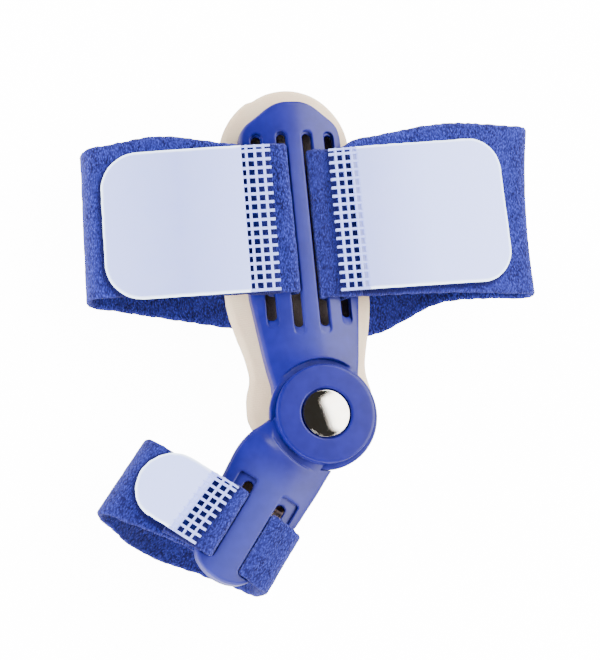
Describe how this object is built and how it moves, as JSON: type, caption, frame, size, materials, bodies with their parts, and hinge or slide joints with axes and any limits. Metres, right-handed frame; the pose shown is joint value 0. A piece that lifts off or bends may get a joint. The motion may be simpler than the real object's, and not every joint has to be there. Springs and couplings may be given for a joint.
{
  "type": "bunion corrector",
  "caption": "Hinged bunion splint: a slotted foot plate on a foam pad, a toe arm on a riveted hinge, and two wide loop straps closed by pierced hook tabs.",
  "frame": {"origin": "centre of the box round the part, at the level it rests on", "axes": "+Z out of the plate's outer face, +Y from the hinge toward the heel end of the plate, +X to the right seen from above"},
  "size_m": [0.1592, 0.1686, 0.0378],
  "materials": {
    "blue_plastic": "smooth moulded, semi-gloss",
    "pad_foam": "foam with a suede-like cover",
    "strap_fabric": "brushed loop pile",
    "hook_tab": "translucent satin",
    "rivet_metal": "polished"
  },
  "bodies": {
    "foot_side": {"foot_plate": "blue_plastic", "foot_pad": "pad_foam", "foot_strap": "strap_fabric", "foot_tab_left": "hook_tab", "foot_tab_right": "hook_tab", "hinge_rivet": "rivet_metal"},
    "toe_side": {"toe_arm": "blue_plastic", "toe_pad": "pad_foam", "toe_strap": "strap_fabric", "toe_tab": "hook_tab"}
  },
  "joints": [
    {"name": "toe_hinge", "type": "hinge", "parent": "foot_side", "child": "toe_side", "pos_m": [-0.00541, -0.02817, 0.0325], "axis": [0, 0, 1], "range_deg": [-25, 95]}
  ]
}
